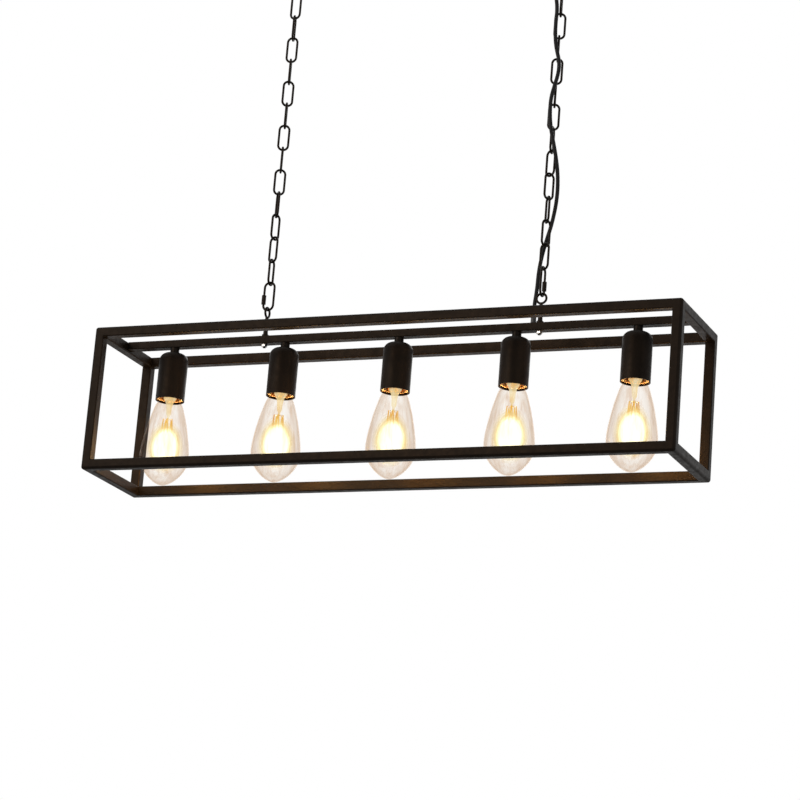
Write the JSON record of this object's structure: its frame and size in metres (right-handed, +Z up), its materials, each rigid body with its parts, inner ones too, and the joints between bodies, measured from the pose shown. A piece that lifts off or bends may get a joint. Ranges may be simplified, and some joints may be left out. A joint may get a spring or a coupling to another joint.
{
  "type": "linear island pendant",
  "caption": "Long open box cage of black square tube hung on chains, with bare teardrop filament lamps in cylindrical holders on a bar along the middle of its top",
  "frame": {"origin": "on the ceiling plane, midway between the two ceiling fittings", "axes": "+Z up out of the fittings into the ceiling, +X along the cage towards the end with the canopy and cord, +Y to the back"},
  "size_m": [0.8, 0.15, 0.7535],
  "materials": {
    "black_enamel": "semi-gloss baked black paint",
    "black_hardware": "semi-gloss black plated steel wire and turned steel",
    "zinc_steel": "zinc plated",
    "cord_jacket": "smooth black round cord",
    "black_grip": "moulded matt black",
    "wire_insulation": "coloured insulation",
    "socket_body": "moulded heat-proof resin",
    "brass_shell": "rolled bright",
    "cap_metal": "rolled bright",
    "clear_glass": "clear, thin blown",
    "lit_filament": "glowing wire on a clear glass stem"
  },
  "bodies": {
    "ceiling_fittings": {"canopy": "black_enamel", "canopy_bracket": "zinc_steel", "canopy_nut": "zinc_steel", "canopy_loop": "black_hardware", "hook_plate": "black_enamel", "ceiling_hook": "black_hardware", "cord_grip_top": "black_grip", "canopy_wiring": "wire_insulation"},
    "upper_links": {"top_links": "black_hardware"},
    "left_chain": {"chain_left": "black_hardware"},
    "right_chain": {"chain_right": "black_hardware", "supply_cord": "cord_jacket"},
    "lower_links": {"bottom_links": "black_hardware"},
    "cage": {"front_top_rail": "black_enamel", "front_bottom_rail": "black_enamel", "back_top_rail": "black_enamel", "back_bottom_rail": "black_enamel", "front_left_post": "black_enamel", "front_right_post": "black_enamel", "back_left_post": "black_enamel", "back_right_post": "black_enamel", "left_top_rail": "black_enamel", "left_bottom_rail": "black_enamel", "right_top_rail": "black_enamel", "right_bottom_rail": "black_enamel", "centre_bar": "black_enamel", "centre_bar_cover": "black_enamel", "eye_bolts": "black_hardware", "eye_nuts": "zinc_steel", "lamp_stems": "black_hardware", "stem_nuts": "zinc_steel", "socket_cores": "socket_body", "socket_threads": "brass_shell", "socket_contacts": "brass_shell", "holder_shell_1": "black_enamel", "holder_shell_2": "black_enamel", "holder_shell_3": "black_enamel", "holder_shell_4": "black_enamel", "holder_shell_5": "black_enamel", "cord_grip_foot": "black_grip", "bar_wiring": "wire_insulation"},
    "bulb_1": {"bulb_1_glass": "clear_glass", "bulb_1_cap": "cap_metal", "bulb_1_filament": "lit_filament"},
    "bulb_2": {"bulb_2_glass": "clear_glass", "bulb_2_cap": "cap_metal", "bulb_2_filament": "lit_filament"},
    "bulb_3": {"bulb_3_glass": "clear_glass", "bulb_3_cap": "cap_metal", "bulb_3_filament": "lit_filament"},
    "bulb_4": {"bulb_4_glass": "clear_glass", "bulb_4_cap": "cap_metal", "bulb_4_filament": "lit_filament"},
    "bulb_5": {"bulb_5_glass": "clear_glass", "bulb_5_cap": "cap_metal", "bulb_5_filament": "lit_filament"}
  },
  "joints": [
    {"name": "pendant_swing", "type": "hinge", "parent": "ceiling_fittings", "child": "upper_links", "pos_m": [0, 0, -0.0465], "axis": [1, 0, 0], "range_deg": [-12, 12], "deforming": ["supply_cord"]},
    {"name": "left_chain_sway", "type": "hinge", "parent": "upper_links", "child": "left_chain", "pos_m": [-0.19, 0, -0.07765], "axis": [0, 1, 0], "range_deg": [-8, 8], "deforming": ["supply_cord"]},
    {"name": "right_chain_sway", "type": "hinge", "parent": "upper_links", "child": "right_chain", "pos_m": [0.19, 0, -0.07765], "axis": [0, 1, 0], "range_deg": [-8, 8], "deforming": ["supply_cord"]},
    {"name": "cage_level", "type": "hinge", "parent": "left_chain", "child": "lower_links", "pos_m": [-0.19, 0, -0.48585], "axis": [0, 1, 0], "range_deg": [-8, 8], "deforming": ["supply_cord"]},
    {"name": "cage_rock", "type": "hinge", "parent": "lower_links", "child": "cage", "pos_m": [0, 0, -0.52075], "axis": [1, 0, 0], "range_deg": [-8, 8], "deforming": ["supply_cord"]},
    {"name": "bulb_1_unscrew", "type": "slide", "parent": "cage", "child": "bulb_1", "axis": [0, 0, -1], "range_m": [0, 0.024]},
    {"name": "bulb_2_unscrew", "type": "slide", "parent": "cage", "child": "bulb_2", "axis": [0, 0, -1], "range_m": [0, 0.024]},
    {"name": "bulb_3_unscrew", "type": "slide", "parent": "cage", "child": "bulb_3", "axis": [0, 0, -1], "range_m": [0, 0.024]},
    {"name": "bulb_4_unscrew", "type": "slide", "parent": "cage", "child": "bulb_4", "axis": [0, 0, -1], "range_m": [0, 0.024]},
    {"name": "bulb_5_unscrew", "type": "slide", "parent": "cage", "child": "bulb_5", "axis": [0, 0, -1], "range_m": [0, 0.024]}
  ],
  "couplings": [
    {"joint": "right_chain_sway", "follows": "left_chain_sway", "ratio": 1},
    {"joint": "cage_level", "follows": "left_chain_sway", "ratio": -1}
  ]
}
